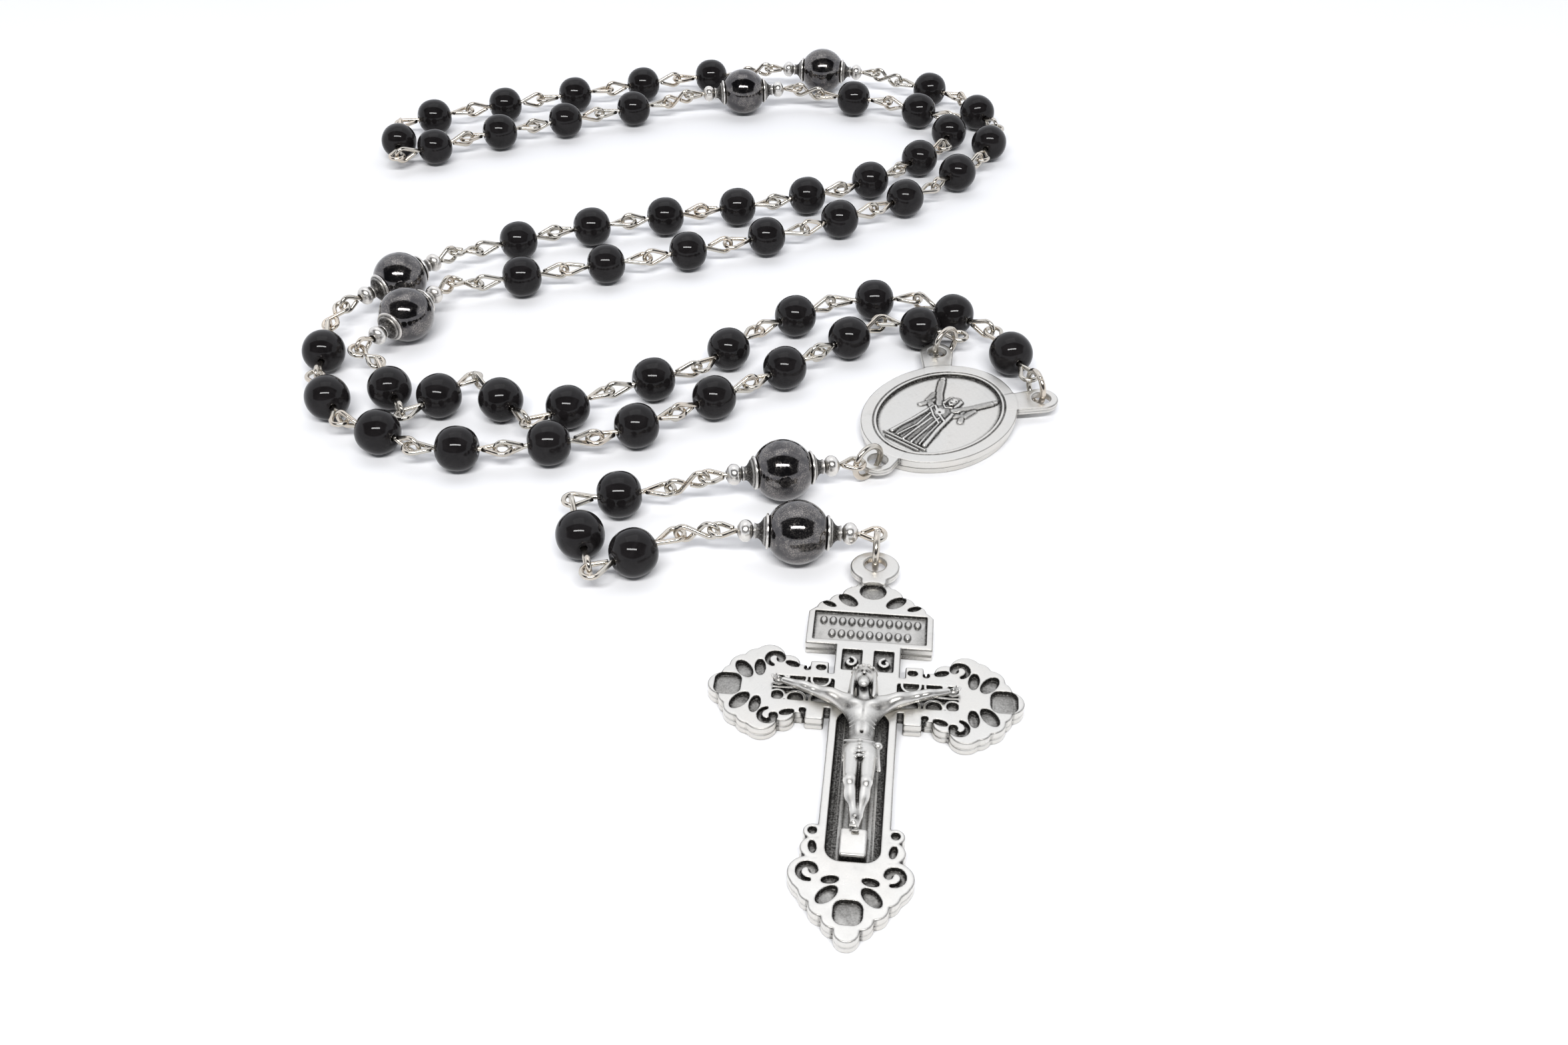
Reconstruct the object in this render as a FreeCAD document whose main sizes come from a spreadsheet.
import FreeCAD, Part

import math
import os

import Sketcher
from FreeCAD import Placement, Rotation, Vector

# A five-decade rosary lying on a flat surface, in millimetres.
# Frame: origin at the centre of the medal's back face, +Z up, so Z = 0 is the surface that it
# rests on. The loop lies behind and to the left of the medal, the pendant and crucifix in front.

doc = FreeCAD.newDocument("Rosary")


# ---------------------------------------------------------------- driving dimensions

SIZE_ROWS = [
    # small prayer beads: barrel-round glass
    ("ave_radius", 3.0),
    ("ave_half_length", 2.8),
    ("ave_flat_radius", 0.9),
    # large prayer beads: round hematite
    ("pater_radius", 3.9),
    ("pater_flat_radius", 1.0),
    ("bore_radius", 0.4),
    # bell caps and round spacers on either side of each large bead
    ("cap_rim_radius", 2.15),
    ("cap_seat_radius", 1.9),
    ("cap_rim_width", 0.35),
    ("cap_waist_radius", 0.95),
    ("cap_length", 1.75),
    ("fitting_gap", 0.05),
    ("spacer_radius", 1.35),
    ("spacer_length", 1.9),
    ("spacer_flat_radius", 0.75),
    # wire work: the tip is the far end of an eye's centre line, from the middle of the piece
    ("wire_radius", 0.325),
    ("eye_radius", 1.1),
    ("ave_tip", 6.85),
    ("ave_neck", 2.9),
    ("pater_tip", 10.45),
    ("link_tip", 2.65),
    ("link_eye_radius", 1.0),
    # how far a flat eye's tip passes an upright eye's tip, centre line to centre line
    ("eye_overlap", 0.95),
    ("eye_slack", 1.0),
    # jump rings
    ("ring_radius", 2.2),
    ("ring_wire_radius", 0.4),
    ("ring_floor_gap", 0.05),
    ("ring_offset", 1.75),
    # centre medal
    ("medal_half_height", 11.8),
    ("medal_half_width", 9.6),
    ("medal_thickness", 2.1),
    ("medal_step", 0.3),
    ("medal_step_height", 0.95),
    ("medal_rim_width", 2.1),
    ("medal_field_depth", 0.45),
    ("lug_radius", 2.3),
    ("lug_hole_radius", 1.25),
    ("lug_underside", 1.1),
    ("ear_side", 8.6),
    ("ear_up", 11.4),
    ("bottom_lug_down", 13.5),
    # crucifix
    ("cross_thickness", 1.8),
    ("cross_arm_span", 34.2),
    ("cross_foot_drop", 31.8),
    ("cross_beam_width", 5.2),
    ("cross_shaft_width", 7.2),
    ("cross_recess_width", 5.4),
    ("cross_recess_depth", 0.7),
    ("cross_bail_up", 20.6),
    ("titulus_width", 14.2),
    ("titulus_height", 6.0),
    ("titulus_up", 10.1),
    ("end_width", 11.2),
    ("end_height", 12.8),
    ("foot_width", 12.4),
]

sheet = doc.addObject("Spreadsheet::Sheet", "Sizes")
for row, (alias, value) in enumerate(SIZE_ROWS, start=1):
    sheet.set(f"A{row}", alias)
    sheet.set(f"B{row}", str(value))
    sheet.setAlias(f"B{row}", alias)
doc.recompute()


def size(alias):
    """The value of one cell of the sheet."""
    return float(sheet.get(alias))


# ---------------------------------------------------------------- turned pieces

def arc_radius_expression(height, half_length, end_height):
    """Radius of an arc that peaks at height and passes end_height at half_length, as an expression."""
    top, half, low = height, half_length, end_height
    return f"(({top} - {low})^2 + {half}^2) / (2 * ({top} - {low}))"


def turned_body(label, points, arcs):
    """A body turned about X. Points are (x, y) expressions listed anticlockwise; arcs maps the
    number of an edge to the expression of the radius of an outward arc that replaces its line."""
    body = doc.addObject("PartDesign::Body", label)
    sketch = body.newObject("Sketcher::SketchObject", label + "_profile")
    plane = [f for f in body.Origin.OriginFeatures if f.Role == "XY_Plane"][0]
    sketch.AttachmentSupport = [(plane, "")]
    sketch.MapMode = "FlatFace"
    values = [Vector(evaluate(x), evaluate(y), 0) for x, y in points]
    count = len(values)
    for i in range(count):
        start, end = values[i], values[(i + 1) % count]
        if i in arcs:
            radius = evaluate(arcs[i])
            middle = (start + end) * 0.5
            half = (end - start) * 0.5
            inward = Vector(-half.y, half.x, 0).normalize()
            centre = middle + inward * math.sqrt(radius**2 - half.Length**2)
            first = math.atan2(start.y - centre.y, start.x - centre.x)
            last = math.atan2(end.y - centre.y, end.x - centre.x)
            circle = Part.Circle(centre, Vector(0, 0, 1), radius)
            sketch.addGeometry(Part.ArcOfCircle(circle, first, last), False)
        else:
            sketch.addGeometry(Part.LineSegment(start, end), False)
    for i in range(count):
        sketch.addConstraint(Sketcher.Constraint("Coincident", i, 2, (i + 1) % count, 1))
    for i, (x, y) in enumerate(points):
        for kind, text, value in (("DistanceX", x, values[i].x), ("DistanceY", y, values[i].y)):
            number = sketch.addConstraint(Sketcher.Constraint(kind, -1, 1, i, 1, value))
            name = f"{kind}_{i}"
            sketch.renameConstraint(number, name)
            sketch.setExpression("Constraints." + name, bound(text))
    for i, text in arcs.items():
        number = sketch.addConstraint(Sketcher.Constraint("Radius", i, evaluate(text)))
        sketch.renameConstraint(number, f"Radius_{i}")
        sketch.setExpression(f"Constraints.Radius_{i}", bound(text))
    turned = body.newObject("PartDesign::Revolution", label + "_turned")
    turned.Profile = sketch
    turned.ReferenceAxis = (sketch, ["H_Axis"])
    turned.Angle = 360
    body.Tip = turned
    return body


ALIASES = sorted((alias for alias, _ in SIZE_ROWS), key=len, reverse=True)
SYMBOLS = "+-*/()^"


def words(text):
    """An expression's words and symbols, one by one."""
    for symbol in SYMBOLS:
        text = text.replace(symbol, f" {symbol} ")
    return text.split()


def bound(text):
    """The same expression with each alias read from the sheet."""
    return " ".join(f"Sizes.{w}" if w in ALIASES else w for w in words(text))


def evaluate(text):
    """The expression's value now."""
    probe = doc.getObject("Probe") or doc.addObject("App::FeaturePython", "Probe")
    if "value" not in probe.PropertiesList:
        probe.addProperty("App::PropertyFloat", "value")
    probe.setExpression("value", bound(text))
    probe.recompute()
    return probe.value


AVE_ARC = arc_radius_expression("ave_radius", "ave_half_length", "ave_flat_radius")
ave_bead = turned_body(
    "ave_bead_pattern",
    [
        ("0 - ave_half_length", "bore_radius"),
        ("ave_half_length", "bore_radius"),
        ("ave_half_length", "ave_flat_radius"),
        ("0 - ave_half_length", "ave_flat_radius"),
    ],
    {2: AVE_ARC},
)

PATER_FACE = "(pater_radius^2 - pater_flat_radius^2)^0.5"
pater_bead = turned_body(
    "pater_bead_pattern",
    [
        ("0 - " + PATER_FACE, "bore_radius"),
        (PATER_FACE, "bore_radius"),
        (PATER_FACE, "pater_flat_radius"),
        ("0 - " + PATER_FACE, "pater_flat_radius"),
    ],
    {2: "pater_radius"},
)

# A cap's open end lies against the bead, and each fitting has a little play along the wire.
SEAT = "(pater_radius^2 - cap_seat_radius^2)^0.5 + fitting_gap"
bell_cap = turned_body(
    "bell_cap_pattern",
    [
        (SEAT + " + cap_length", "bore_radius"),
        (SEAT + " + cap_length", "cap_waist_radius"),
        (SEAT + " + cap_rim_width", "cap_rim_radius - 0.1"),
        (SEAT + " + cap_rim_width", "cap_rim_radius"),
        (SEAT, "cap_rim_radius"),
        (SEAT, "cap_seat_radius"),
        (PATER_FACE + " + fitting_gap", "cap_seat_radius"),
        (PATER_FACE + " + fitting_gap", "bore_radius"),
    ],
    {},
)

SPACER_START = SEAT + " + cap_length + fitting_gap"
spacer = turned_body(
    "spacer_pattern",
    [
        (SPACER_START, "bore_radius"),
        (SPACER_START + " + spacer_length", "bore_radius"),
        (SPACER_START + " + spacer_length", "spacer_flat_radius"),
        (SPACER_START, "spacer_flat_radius"),
    ],
    {2: arc_radius_expression("spacer_radius", "(spacer_length / 2)", "spacer_flat_radius")},
)
PATER_NECK = SPACER_START + " + spacer_length + 0.1"


# ---------------------------------------------------------------- wire work

ALONG_X = Rotation(Vector(0, 1, 0), 90)


def rod(label, length, start, heading):
    """A straight wire of the given length from start, heading degrees from +X in the XY plane."""
    piece = doc.addObject("Part::Cylinder", label)
    piece.setExpression("Radius", bound("wire_radius"))
    piece.setExpression("Height", bound(length))
    piece.Placement = Placement(start, Rotation(Vector(0, 0, 1), heading) * ALONG_X)
    return piece


def eye_pieces(label, tip, neck, radius):
    """A teardrop eye in the XY plane that points along +X: a round tip and two straight sides."""
    reach = f"({tip} - {radius} - ({neck}))"
    spread = math.degrees(math.asin(evaluate(radius) / evaluate(reach)))
    side_length = f"({reach}^2 - {radius}^2)^0.5"
    bend = doc.addObject("Part::Torus", label + "_bend")
    bend.setExpression("Radius1", bound(radius))
    bend.setExpression("Radius2", bound("wire_radius"))
    bend.Angle3 = 180 + 2 * spread
    centre = Vector(evaluate(f"{tip} - {radius}"), 0, 0)
    bend.Placement = Placement(centre, Rotation(Vector(0, 0, 1), -90 - spread))
    start = Vector(evaluate(neck), 0, 0)
    sides = [rod(f"{label}_side_{i}", side_length, start, turn) for i, turn in ((1, spread), (2, -spread))]
    knot = doc.addObject("Part::Sphere", label + "_neck")
    knot.setExpression("Radius", bound("wire_radius"))
    knot.Placement = Placement(start, Rotation())
    return [bend, knot] + sides


def eye_wire(label, tip, neck, radius, twist=0):
    """A wire along X with an eye at each end; twist turns the second eye about X."""
    pieces = []
    for number, (half_turn, roll) in enumerate(((0, twist), (180, 0)), start=1):
        turn = Rotation(Vector(1, 0, 0), roll) * Rotation(Vector(0, 0, 1), half_turn)
        for piece in eye_pieces(f"{label}_eye_{number}", tip, neck, radius):
            piece.Placement = Placement(Vector(), turn) * piece.Placement
            pieces.append(piece)
    if evaluate(neck) > 0:
        start = Vector(-evaluate(neck), 0, 0)
        pieces.append(rod(label + "_shank", f"2 * ({neck})", start, 0))
    fused = doc.addObject("Part::MultiFuse", label)
    fused.Shapes = pieces
    return fused


ave_wire = eye_wire("ave_wire_pattern", "ave_tip", "ave_neck", "eye_radius")
ave_wire_twisted = eye_wire("twisted_wire_pattern", "ave_tip", "ave_neck", "eye_radius", twist=90)
pater_wire = eye_wire("pater_wire_pattern", "pater_tip", PATER_NECK, "eye_radius")
link_wire = eye_wire("link_pattern", "link_tip", "0", "link_eye_radius")

jump_ring = doc.addObject("Part::Torus", "ring_pattern")
jump_ring.setExpression("Radius1", bound("ring_radius"))
jump_ring.setExpression("Radius2", bound("ring_wire_radius"))


# ---------------------------------------------------------------- solids for the two castings

def oval(label, half_height, half_width, thickness, base):
    """An elliptical plate with its long axis along Y, from base upwards."""
    outline = doc.addObject("Part::Ellipse", label + "_outline")
    outline.setExpression("MajorRadius", bound(half_height))
    outline.setExpression("MinorRadius", bound(half_width))
    outline.Placement = Placement(Vector(0, 0, evaluate(base)), Rotation(Vector(0, 0, 1), 90))
    plate = doc.addObject("Part::Extrusion", label)
    plate.Base = outline
    plate.DirMode = "Custom"
    plate.Dir = Vector(0, 0, 1)
    plate.setExpression("LengthFwd", bound(thickness))
    plate.Solid = True
    return plate


def disc(label, radius, height, centre):
    piece = doc.addObject("Part::Cylinder", label)
    piece.setExpression("Radius", bound(radius))
    piece.setExpression("Height", bound(height))
    piece.Placement = Placement(centre, Rotation())
    return piece


def slab(label, length, width, height, centre, heading=0):
    """A box centred on centre in X and Y, standing on centre's height, turned by heading."""
    piece = doc.addObject("Part::Box", label)
    piece.setExpression("Length", bound(length))
    piece.setExpression("Width", bound(width))
    piece.setExpression("Height", bound(height))
    turn = Rotation(Vector(0, 0, 1), heading)
    corner = turn.multVec(Vector(-evaluate(length) / 2, -evaluate(width) / 2, 0))
    piece.Placement = Placement(centre + corner, turn)
    return piece


def pebble(label, half_x, half_y, half_z, centre, heading=0):
    """An ellipsoid with its half sizes along X, Y and Z before it is turned by heading."""
    piece = doc.addObject("Part::Ellipsoid", label)
    piece.Radius1 = half_z
    piece.Radius2 = half_x
    piece.Radius3 = half_y
    piece.Placement = Placement(centre, Rotation(Vector(0, 0, 1), heading))
    return piece


def fuse(label, pieces):
    joined = doc.addObject("Part::MultiFuse", label)
    joined.Shapes = pieces
    joined.Refine = False
    return joined


def cut(label, base, tool):
    result = doc.addObject("Part::Cut", label)
    result.Base = base
    result.Tool = tool
    return result


# ---------------------------------------------------------------- centre medal

def medal_lug(label, centre, reach_back):
    """A thin eye on the medal's edge: a round end and a neck that runs back into the plate."""
    height = "medal_thickness - lug_underside"
    base = Vector(centre.x, centre.y, size("lug_underside"))
    heading = math.degrees(math.atan2(-centre.y, -centre.x))
    back = Rotation(Vector(0, 0, 1), heading).multVec(Vector(reach_back / 2, 0, 0))
    neck = slab(label + "_neck", str(reach_back), "2 * lug_radius - 1", height, base + back, heading)
    end = disc(label + "_end", "lug_radius", height, base)
    return [end, neck]


ear_right = Vector(size("ear_side"), size("ear_up"), 0)
ear_left = Vector(-size("ear_side"), size("ear_up"), 0)
bottom_lug = Vector(0, -size("bottom_lug_down"), 0)
medal_lugs = [
    ("medal_right_ear", ear_right, 6.0),
    ("medal_left_ear", ear_left, 6.0),
    ("medal_bottom_lug", bottom_lug, 4.0),
]
medal_plates = [
    oval(
        "medal_lower_layer", "medal_half_height - medal_step", "medal_half_width - medal_step",
        "medal_step_height", "0",
    ),
    oval(
        "medal_upper_layer", "medal_half_height", "medal_half_width",
        "medal_thickness - medal_step_height", "medal_step_height",
    ),
]
medal_holes = []
for lug_label, lug_centre, lug_back in medal_lugs:
    medal_plates += medal_lug(lug_label, lug_centre, lug_back)
    medal_holes.append(disc(lug_label + "_hole", "lug_hole_radius", "2 * medal_thickness", lug_centre))
medal_field = oval(
    "medal_field", "medal_half_height - medal_rim_width", "medal_half_width - medal_rim_width",
    "medal_thickness", "medal_thickness - medal_field_depth",
)
medal_blank = cut(
    "medal_blank",
    fuse("medal_outline", medal_plates),
    fuse("medal_cuts", medal_holes + [medal_field]),
)
# The robed figure in low relief: robe, shoulders, head and two raised arms.
field_level = size("medal_thickness") - size("medal_field_depth")
medal = fuse(
    "medal_pattern",
    [
        medal_blank,
        pebble("relief_robe", 2.0, 5.2, 0.42, Vector(0, -3.6, field_level)),
        pebble("relief_chest", 1.7, 2.4, 0.44, Vector(0, 0.6, field_level)),
        pebble("relief_head", 0.95, 1.2, 0.44, Vector(0, 4.0, field_level)),
        pebble("relief_arm_right", 2.6, 0.6, 0.36, Vector(2.6, 3.0, field_level), 38),
        pebble("relief_arm_left", 2.6, 0.6, 0.36, Vector(-2.6, 3.0, field_level), -38),
        pebble("relief_ground", 4.2, 0.9, 0.36, Vector(0, -7.6, field_level)),
    ],
)


# ---------------------------------------------------------------- crucifix

PLATE = "cross_thickness"


def scalloped_end(label, centre, outward):
    """One arm's ornamental end: a lozenge of five round lobes about a square boss."""
    turn = Rotation(Vector(0, 0, 1), outward)

    def at(x, y):
        return centre + turn.multVec(Vector(x, y, 0))

    half_w = size("end_width") / 2
    half_h = size("end_height") / 2
    tip = 1.7
    shoulder = 1.9
    wing = 1.75
    pieces = [
        slab(label + "_core", "end_width * 0.62", "end_height * 0.62", PLATE, at(-0.4, 0), outward + 45),
        disc(label + "_tip", str(tip), PLATE, at(half_w - tip, 0)),
    ]
    for side in (1, -1):
        name = f"{label}_{'upper' if side > 0 else 'lower'}"
        pieces.append(disc(name + "_shoulder", str(shoulder), PLATE, at(half_w - 4.0, side * 2.9)))
        pieces.append(disc(name + "_wing", str(wing), PLATE, at(-0.6, side * (half_h - wing))))
        pieces.append(disc(name + "_curl", "1.3", PLATE, at(-half_w + 1.7, side * 3.4)))
    return pieces


def foot_ornament():
    """The foot: two curls beside the shaft, a wide pair of lobes and a pointed tip."""
    drop = -size("cross_foot_drop")
    pieces = [
        slab("foot_core", "foot_width * 0.64", "foot_width * 0.64", PLATE, Vector(0, drop + 6.2, 0), 45),
        disc("foot_tip", "1.2", PLATE, Vector(0, drop + 1.2, 0)),
    ]
    for side in (1, -1):
        name = "foot_right" if side > 0 else "foot_left"
        half = size("foot_width") / 2
        pieces.append(disc(name + "_lobe", "1.9", PLATE, Vector(side * (half - 1.9), drop + 7.6, 0)))
        pieces.append(disc(name + "_lower", "1.8", PLATE, Vector(side * 2.6, drop + 4.0, 0)))
        pieces.append(disc(name + "_curl", "1.3", PLATE, Vector(side * 4.0, drop + 10.6, 0)))
        pieces.append(disc(name + "_knob", "0.9", PLATE, Vector(side * 4.1, drop + 12.7, 0)))
    return pieces


end_offset = size("cross_arm_span") / 2 - size("end_width") / 2
bail_centre = Vector(0, size("cross_bail_up"), 0)
bail_base = Vector(0, size("cross_bail_up"), size("lug_underside"))
bail_height = "medal_thickness - lug_underside"
shaft_low = -(size("cross_foot_drop") - 8.5)
shaft_high = size("titulus_up")
shaft_length = shaft_high - shaft_low
shaft_middle = Vector(0, (shaft_high + shaft_low) / 2, 0)
cross_pieces = [
    slab("cross_shaft", "cross_shaft_width", str(shaft_length), PLATE, shaft_middle),
    slab("cross_beam", "2 * 13", "cross_beam_width", PLATE, Vector(0, 0, 0)),
    slab("titulus", "titulus_width", "titulus_height", PLATE, Vector(0, size("titulus_up"), 0)),
    slab("palmette_root", "6.4", "5.0", PLATE, Vector(0, 14.2, 0)),
    slab("bail_stem", "2.6", "4.4", PLATE, Vector(0, 16.4, 0)),
    disc("bail_end", "lug_radius", bail_height, bail_base),
    slab("bail_neck", "3.0", "2.6", bail_height, Vector(0, 17.9, size("lug_underside"))),
]
for side in (1, -1):
    word = "right" if side > 0 else "left"
    cross_pieces.append(disc(f"palmette_{word}_low", "1.5", PLATE, Vector(side * 2.7, 14.3, 0)))
    cross_pieces.append(disc(f"palmette_{word}_high", "1.3", PLATE, Vector(side * 1.6, 16.1, 0)))
    cross_pieces.append(slab(f"crook_{word}_upper", "2.0", "2.0", PLATE, Vector(side * 5.2, 3.3, 0)))
    cross_pieces.append(slab(f"crook_{word}_lower", "2.0", "2.0", PLATE, Vector(side * 5.2, -3.3, 0)))
    cross_pieces += scalloped_end(f"arm_{word}_end", Vector(side * end_offset, 0, 0), 0 if side > 0 else 180)
cross_pieces += foot_ornament()

recess_level = size("cross_thickness") - size("cross_recess_depth")
recess_low = shaft_low + 0.9
recess_length = -3.2 - recess_low
cross_cuts = [
    disc("bail_hole", "lug_hole_radius", "2 * cross_thickness + 2", bail_centre),
    slab(
        "shaft_recess", "cross_recess_width", str(recess_length), "1",
        Vector(0, recess_low + recess_length / 2, recess_level),
    ),
    slab(
        "titulus_recess", "titulus_width - 1.4", "titulus_height - 1.4", "1",
        Vector(0, size("titulus_up"), size("cross_thickness") - 0.25),
    ),
]
crucifix = cut("crucifix_pattern", fuse("cross_outline", cross_pieces), fuse("cross_cuts", cross_cuts))


# ---------------------------------------------------------------- corpus

def limb(label, start, end, first_radius, last_radius):
    """A tapering round limb between two points."""
    along = end - start
    cone = doc.addObject("Part::Cone", label)
    cone.Radius1 = first_radius
    cone.Radius2 = last_radius
    cone.Height = along.Length
    cone.Placement = Placement(start, Rotation(Vector(0, 0, 1), along))
    return cone


def knob(label, radius, centre):
    piece = doc.addObject("Part::Sphere", label)
    piece.Radius = radius
    piece.Placement = Placement(centre, Rotation())
    return piece


front = size("cross_thickness")
neck = doc.addObject("Part::Cylinder", "corpus_neck")
neck.Radius = 0.75
neck.Height = 3.0
neck.Placement = Placement(Vector(0, -2.8, front + 1.2), Rotation(Vector(0, 0, 1), Vector(-0.1, 1, 0.05)))
corpus_parts = [
    pebble("corpus_chest", 1.95, 3.4, 1.15, Vector(0, -5.0, front + 0.95)),
    pebble("corpus_cloth", 1.9, 1.9, 1.2, Vector(0, -9.6, front + 0.85)),
    knob("corpus_head", 1.3, Vector(-0.15, 0.3, front + 1.4)),
    neck,
]
for side in (1, -1):
    word = "right" if side > 0 else "left"
    shoulder = Vector(side * 1.2, -3.1, front + 1.0)
    hand = Vector(side * 9.6, 0.5, front + 0.55)
    corpus_parts.append(limb(f"corpus_{word}_arm", shoulder, hand, 0.85, 0.42))
    corpus_parts.append(knob(f"corpus_{word}_hand", 0.62, hand))
# The left leg crosses a little in front of the right one.
corpus_parts += [
    limb(
        "corpus_right_thigh",
        Vector(0.85, -10, front + 0.9), Vector(0.9, -14.2, front + 1.25), 1.05, 0.82,
    ),
    limb(
        "corpus_right_shin",
        Vector(0.9, -13.7, front + 1.15), Vector(0.35, -18.4, front + 0.6), 0.8, 0.5,
    ),
    limb(
        "corpus_left_thigh",
        Vector(-0.85, -10, front + 0.9), Vector(-0.95, -13.8, front + 1.1), 1.0, 0.8,
    ),
    limb(
        "corpus_left_shin",
        Vector(-0.95, -13.3, front + 1.05), Vector(-0.2, -17.6, front + 0.75), 0.78, 0.52,
    ),
    pebble("corpus_feet", 1.0, 1.6, 0.95, Vector(0, -18.5, front + 0.5)),
]
behind = slab("behind_corpus", "40", "40", "10", Vector(0, -8, front - 10))
corpus = cut("corpus_pattern", fuse("corpus_solid", corpus_parts), behind)


# ---------------------------------------------------------------- where everything lies

MEDAL_HEADING = 50.0 - 90.0
medal_place = Placement(Vector(), Rotation(Vector(0, 0, 1), MEDAL_HEADING))
ring_level = size("ring_radius") + size("ring_wire_radius") + size("ring_floor_gap")

ave_level = size("ave_radius")
pater_level = size("pater_radius")
ring_joint_level = 3.4

# Centre-line routes of the two strands of the loop. Each strand leaves its ear, turns left and
# right with the other one beside it, and both meet at the far left end.
EAR_ROUTE_RIGHT = [(12.7, 6.9), (10.9, 14.0), (5.0, 23.4), (-5.4, 27.8), (-13.6, 26.0), (-20.0, 20.0)]
EAR_ROUTE_LEFT = [(3.4, 16.8), (-1.8, 19.0), (-6.8, 20.8), (-12.0, 16.4), (-19.6, 9.6), (-27.5, 3.6)]
# Where the right strand lies kinked, its pivots are given one by one.
KINKED_PIVOTS = [
    (-31.8, 11.1), (-43.3, 3.8), (-52.8, -1.8), (-62.6, 5.6), (-70.4, -0.9), (-76.6, 10.0),
    (-79.3, 12.2), (-69.6, 29.9), (-66.2, 31.0),
]
FAR_ROUTE_RIGHT = [
    (-66.2, 31.0), (-60.0, 33.2), (-48.2, 36.4), (-36.0, 40.2), (-24.0, 44.6), (-12.2, 50.0),
    (-1.0, 57.2), (9.0, 66.4), (15.4, 77.6), (15.2, 88.6), (7.6, 97.8), (-3.6, 103.0),
    (-15.2, 105.4), (-27.0, 105.0), (-38.3, 103.3), (-51.0, 98.8), (-64.0, 94.2), (-76.4, 89.6),
    (-87.0, 84.6), (-98.0, 79.0),
]
NEAR_ROUTE_LEFT = [
    (-17.4, 10.6), (-27.5, 3.6), (-37.7, -3.2), (-48.0, -8.2), (-59.2, -9.4), (-70.6, -8.2),
    (-80.8, -0.4), (-85.2, 11.6), (-84.4, 22.6), (-76.4, 32.4), (-68.0, 40.6), (-59.0, 45.2),
    (-47.3, 49.0), (-35.0, 52.6), (-23.5, 55.6), (-13.2, 59.2), (-3.7, 65.2), (4.6, 73.6),
    (9.4, 82.0), (6.4, 89.8), (-4.6, 93.6), (-14.0, 96.0), (-24.0, 96.8), (-35.0, 94.6),
    (-46.0, 91.0), (-57.7, 86.2), (-70.0, 81.0), (-81.0, 76.4), (-92.0, 73.4),
]


def smooth(points, steps=40):
    """Points along a curve that passes through every route point."""
    ends = [points[0]] + list(points) + [points[-1]]
    curve = []
    for i in range(1, len(ends) - 2):
        before, start, end, after = (Vector(*p, 0) for p in ends[i - 1:i + 3])
        for step in range(steps):
            t = step / steps
            curve.append(
                start
                + (end - before) * (0.5 * t)
                + (before * 2 - start * 5 + end * 4 - after) * (0.5 * t * t)
                + (start * 3 - before - end * 3 + after) * (0.5 * t**3)
            )
    curve.append(Vector(*points[-1], 0))
    return curve


def walk(route, start, steps):
    """Pivot points along the route, each at the given straight distance from the one before."""
    curve = smooth(route)
    here, pivots = start, [start]
    place = min(range(len(curve)), key=lambda n: (curve[n] - start).Length)
    for step in steps:
        while place < len(curve) - 1 and (curve[place] - here).Length < step:
            place += 1
        near, far = curve[place - 1], curve[place]
        for _ in range(40):
            middle = (near + far) * 0.5
            if (middle - here).Length < step:
                near = middle
            else:
                far = middle
        here = far
        pivots.append(here)
    return pivots


def span(tip_alias, flat, slack_ends=0):
    """Distance between a wire's two pivots. An upright eye's tip is the pivot itself; a flat
    eye's tip passes it by the overlap, and by the slack too where the chain lies bunched."""
    pass_by = (2 * size("eye_overlap") + slack_ends * size("eye_slack")) if flat else 0
    return 2 * size(tip_alias) - pass_by


def flat_distance(length, rise):
    return math.sqrt(length**2 - rise**2)


# Pieces of one strand, in order from the medal: 10 beads, link, large bead, link, 10 beads,
# link, large bead, link and 5 beads. Flat and upright eyes alternate, so the first is flat.
KINDS = ["ave"] * 10 + ["link", "pater", "link"] + ["ave"] * 10 + ["link", "pater", "link"] + ["ave"] * 5
TIPS = {"ave": "ave_tip", "link": "link_tip", "pater": "pater_tip"}
SLACK_RIGHT = {}
SLACK_LEFT = {0: 1.4, 2: 2, 4: 2, 6: 2, 8: 2, 14: 2, 16: 2, 18: 2, 20: 2, 22: 0.5, 24: 0.5, 26: 0.5, 28: 2}


def levels(kinds, first):
    """Height of each pivot: small beads rest at their own radius, large ones at theirs."""
    heights = [first]
    for kind, following in zip(kinds, kinds[1:] + ["ave"]):
        heights.append(pater_level if "pater" in (kind, following) else ave_level)
    return heights


def strand_steps(slack, heights):
    """Plan distance between each wire's two pivots."""
    steps = []
    for i, kind in enumerate(KINDS):
        length = span(TIPS[kind], flat=i % 2 == 0, slack_ends=slack.get(i, 0))
        steps.append(flat_distance(length, heights[i + 1] - heights[i]))
    return steps


def settle(points, steps, rounds=3000):
    """Ease the points between two fixed ends until they lie at the given distances."""
    points = [Vector(p) for p in points]
    last = len(points) - 1
    for _ in range(rounds):
        for i, step in enumerate(steps):
            gap = points[i + 1] - points[i]
            excess = gap * (1 - step / gap.Length)
            # the near point takes this share of the move, and a fixed end takes none
            share = 0.5
            if i == 0:
                share = 0.0
            elif i + 1 == last:
                share = 1.0
            points[i] = points[i] + excess * share
            points[i + 1] = points[i + 1] - excess * (1 - share)
    return points


def towards(heading):
    return Vector(math.cos(math.radians(heading)), math.sin(math.radians(heading)), 0)


def ring_reach(level):
    """Distance from a lug's hole to the ring's far wire, at the given height."""
    return size("ring_offset") + math.sqrt(size("ring_radius")**2 - (level - ring_level)**2)


RING_RIGHT_HEADING = 108.0
RING_LEFT_HEADING = 46.0
RING_PENDANT_HEADING = 222.0
right_hole = medal_place.multVec(ear_right)
left_hole = medal_place.multVec(ear_left)
pendant_hole = medal_place.multVec(bottom_lug)

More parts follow.
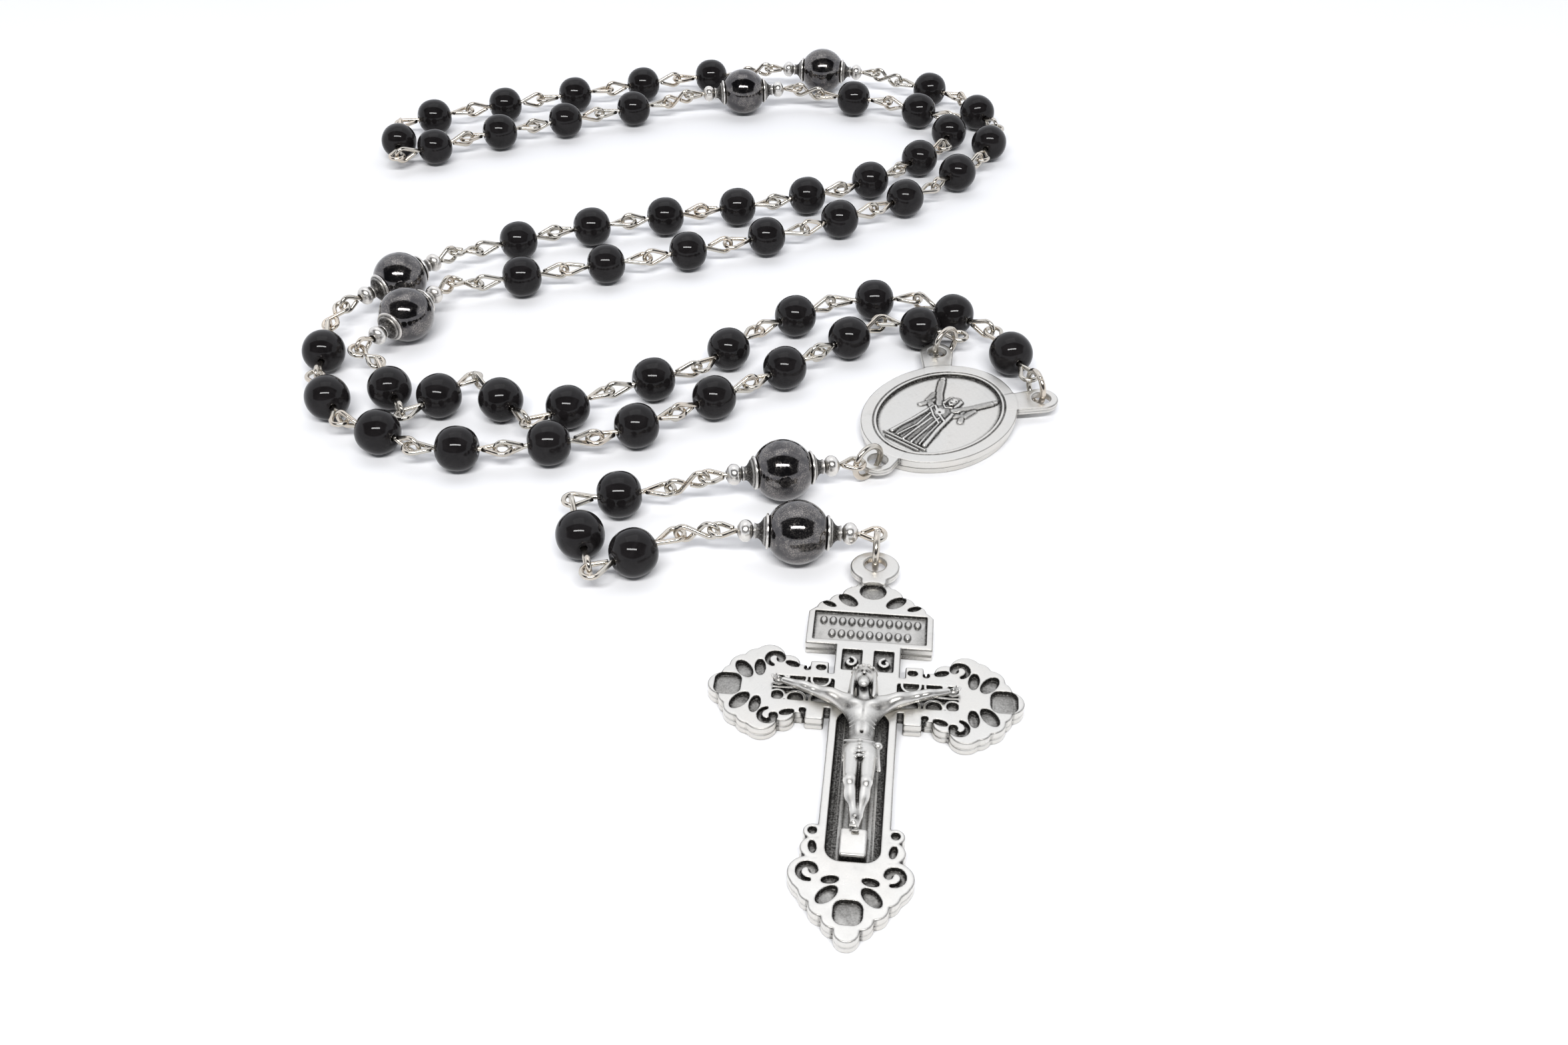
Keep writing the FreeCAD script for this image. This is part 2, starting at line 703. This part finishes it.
right_start = right_hole + towards(RING_RIGHT_HEADING) * ring_reach(ave_level)
left_start = left_hole + towards(RING_LEFT_HEADING) * ring_reach(ave_level)
heights = levels(KINDS, ave_level)
right_steps = strand_steps(SLACK_RIGHT, heights)
left_steps = strand_steps(SLACK_LEFT, heights)

# The fourth wires of the two strands lie parallel, so the loop can sway on them.
SWAY_HEADING = 215.0
sway = towards(SWAY_HEADING) * right_steps[3]
right_pivots = walk(EAR_ROUTE_RIGHT, right_start, right_steps[:3])
right_pivots.append(right_pivots[-1] + sway)
kinked = [right_pivots[-1]] + [Vector(x, y, 0) for x, y in KINKED_PIVOTS]
right_pivots += settle(kinked, right_steps[4:13])[1:]
right_pivots += walk(FAR_ROUTE_RIGHT, right_pivots[-1], right_steps[13:])[1:]
left_pivots = walk(EAR_ROUTE_LEFT, left_start, left_steps[:3])
left_pivots.append(left_pivots[-1] + sway)
left_pivots += walk(NEAR_ROUTE_LEFT, left_pivots[-1], left_steps[4:])[1:]

# The two strands meet at the far left: the left strand's last two wires close on the right
# strand's end as two sides of a triangle that bulges outwards.
meeting = right_pivots[-1]
corner = left_pivots[-3]
side_a = span("ave_tip", flat=False)
side_b = 2 * size("ave_tip") - size("eye_overlap")
base = meeting - corner
along = (side_a**2 - side_b**2 + base.Length**2) / (2 * base.Length)
bulge = math.sqrt(max(side_a**2 - along**2, 0))
unit = Vector(base).normalize()
left_pivots[-2] = corner + unit * along + Vector(-unit.y, unit.x, 0) * bulge
left_pivots[-1] = meeting


def at_level(points, heights):
    return [Vector(p.x, p.y, z) for p, z in zip(points, heights)]


right_pivots = at_level(right_pivots, heights)
left_pivots = at_level(left_pivots, heights)

# The pendant's pieces and the heading of each, from the medal's bottom ring to the crucifix.
PENDANT = [
    ("pater", 192.0), ("link", 188.0), ("ave", 190.0), ("ave", 285.0),
    ("ave", 35.0), ("link", 350.0), ("pater", 1.0),
]
PENDANT_LEVELS = [
    ring_joint_level, 2 * pater_level - ring_joint_level, ave_level, ave_level,
    ave_level, ave_level, 2 * pater_level - ring_joint_level, ring_joint_level,
]
CROSS_TILT = -5.6
pendant_start = pendant_hole + towards(RING_PENDANT_HEADING) * ring_reach(ring_joint_level)
pendant_pivots = [Vector(pendant_start.x, pendant_start.y, ring_joint_level)]
for i, (kind, heading) in enumerate(PENDANT):
    rise = PENDANT_LEVELS[i + 1] - PENDANT_LEVELS[i]
    reach = flat_distance(span(TIPS[kind], flat=i % 2 == 0), rise)
    pendant_pivots.append(pendant_pivots[-1] + towards(heading) * reach + Vector(0, 0, rise))

cross_down = towards(270.0 + CROSS_TILT)
last_pivot = pendant_pivots[-1]
bail_hole = last_pivot + cross_down * ring_reach(ring_joint_level)
cross_origin = bail_hole + cross_down * size("cross_bail_up")
cross_place = Placement(Vector(cross_origin.x, cross_origin.y, 0), Rotation(Vector(0, 0, 1), CROSS_TILT))


# ---------------------------------------------------------------- nodes

def copy_of(label, pattern, placement):
    """A placed copy of a pattern piece."""
    link = doc.addObject("App::Link", label)
    link.LinkedObject = pattern
    link.LinkPlacement = placement
    return link


def chain_placement(start, end, flat, roll=0.0):
    """Middle of a wire between two pivots: local X along the chain, local XY the eyes' plane."""
    x_axis = Vector(end - start).normalize()
    y_axis = Vector(0, 0, 1).cross(x_axis).normalize()
    z_axis = x_axis.cross(y_axis)
    turn = Rotation(x_axis, y_axis, z_axis, "XYZ")
    quarter = 0 if flat else 90
    return Placement((start + end) * 0.5, turn * Rotation(Vector(1, 0, 0), quarter + roll))


HALF_TURN = Placement(Vector(), Rotation(Vector(0, 0, 1), 180))
nodes = {}


def node(label, copies):
    """One exported sub-part: a compound of one or more separate placed solids."""
    group = doc.addObject("Part::Compound", label)
    group.Label = label
    group.Links = copies
    nodes[label] = group


def single(label, pattern, placement):
    node(label, [copy_of(label + "_copy", pattern, placement)])


def pater_nodes(label, placement):
    """A large bead, its wire, its two caps and its two spacers."""
    single(label + "_bead", pater_bead, placement)
    single(label + "_wire", pater_wire, placement)
    fittings = []
    for word, turn in (("near", HALF_TURN), ("far", Placement())):
        fittings.append(copy_of(f"{label}_{word}_cap", bell_cap, placement * turn))
        fittings.append(copy_of(f"{label}_{word}_spacer", spacer, placement * turn))
    node(label + "_fittings", fittings)


def ring_node(label, hole, heading):
    centre = hole + towards(heading) * size("ring_offset")
    upright = Rotation(Vector(0, 0, 1), heading) * Rotation(Vector(1, 0, 0), 90)
    single(label, jump_ring, Placement(Vector(centre.x, centre.y, ring_level), upright))


single("medal", medal, medal_place)
ring_node("ring_right", right_hole, RING_RIGHT_HEADING)
ring_node("ring_left", left_hole, RING_LEFT_HEADING)
ring_node("ring_pendant", pendant_hole, RING_PENDANT_HEADING)
ring_node("ring_crucifix", bail_hole, 90.0 + CROSS_TILT)

pendant_places = [
    chain_placement(pendant_pivots[i], pendant_pivots[i + 1], flat=i % 2 == 0) for i in range(len(PENDANT))
]
pater_nodes("pater_1", pendant_places[0])
single("link_1", link_wire, pendant_places[1])
for number in (1, 2, 3):
    single(f"ave_{number}_bead", ave_bead, pendant_places[1 + number])
    single(f"ave_{number}_wire", ave_wire, pendant_places[1 + number])
single("link_2", link_wire, pendant_places[5])
pater_nodes("pater_2", pendant_places[6])
single("crucifix", crucifix, cross_place)
single("corpus", corpus, cross_place)

# Each strand comes in lengths that move as one: its first and last pieces by number.
LENGTHS = {
    "right": [
        ("start", 0, 2), ("sway", 3, 3), ("run", 4, 9),
        ("second", 10, 21), ("turn", 22, 26), ("end", 27, 30),
    ],
    "left": [
        ("start", 0, 2), ("sway", 3, 3), ("run", 4, 8),
        ("second", 9, 21), ("turn", 22, 25), ("end", 26, 30),
    ],
}
# A gentle roll of the wires inside a length, so that their eyes don't all lie square.
ROLLS = [0, 7, -9, 4, 10, -6, 8, -4, 6, 0]
CLOSING = len(KINDS) - 1
PATER_NUMBERS = {11: 1, 24: 2}


def strand_nodes(strand_name, pivots, slack, name, first, last):
    """The beads of one length, its wires and links, and the parts of its large bead if any."""
    beads, wires = [], []
    for i in range(first, last + 1):
        place = chain_placement(pivots[i], pivots[i + 1], flat=i % 2 == 0)
        if KINDS[i] == "pater":
            pater_nodes(f"pater_{strand_name}_{PATER_NUMBERS[i]}", place)
            continue
        label = f"{strand_name}_{name}_{i - first + 1}"
        pattern = link_wire
        if KINDS[i] == "ave":
            pattern = ave_wire
            if first < i < last and slack.get(i, 0) == 0:
                place = place * Placement(Vector(), Rotation(Vector(1, 0, 0), ROLLS[i % len(ROLLS)]))
            if strand_name == "left" and i == CLOSING:
                pattern = ave_wire_twisted
                back = (pivots[i + 1] - pivots[i]).normalize() * size("ave_tip")
                place = Placement(pivots[i + 1] - back, place.Rotation)
            beads.append(copy_of(label + "_bead", ave_bead, place))
        wires.append(copy_of(label + "_wire", pattern, place))
    node(f"{strand_name}_{name}_beads", beads)
    node(f"{strand_name}_{name}_wires", wires)


for strand_name, pivots, slack in (
    ("right", right_pivots, SLACK_RIGHT),
    ("left", left_pivots, SLACK_LEFT),
):
    for name, first, last in LENGTHS[strand_name]:
        strand_nodes(strand_name, pivots, slack, name, first, last)

doc.recompute()


# ---------------------------------------------------------------- checks and files

for item in doc.Objects:
    if "Invalid" in item.State or "Error" in item.State:
        raise SystemExit(f"{item.Label} failed: {item.State}")
os.makedirs("parts", exist_ok=True)
for label, item in nodes.items():
    shape = item.Shape
    if shape.isNull() or not shape.isValid() or shape.Volume <= 0:
        raise SystemExit(f"{label} has no valid solid")
for label, item in nodes.items():
    item.Shape.exportStep(f"parts/{label}.step")
print(f"{len(nodes)} sub-parts, {sum(len(n.Shape.Solids) for n in nodes.values())} solids")
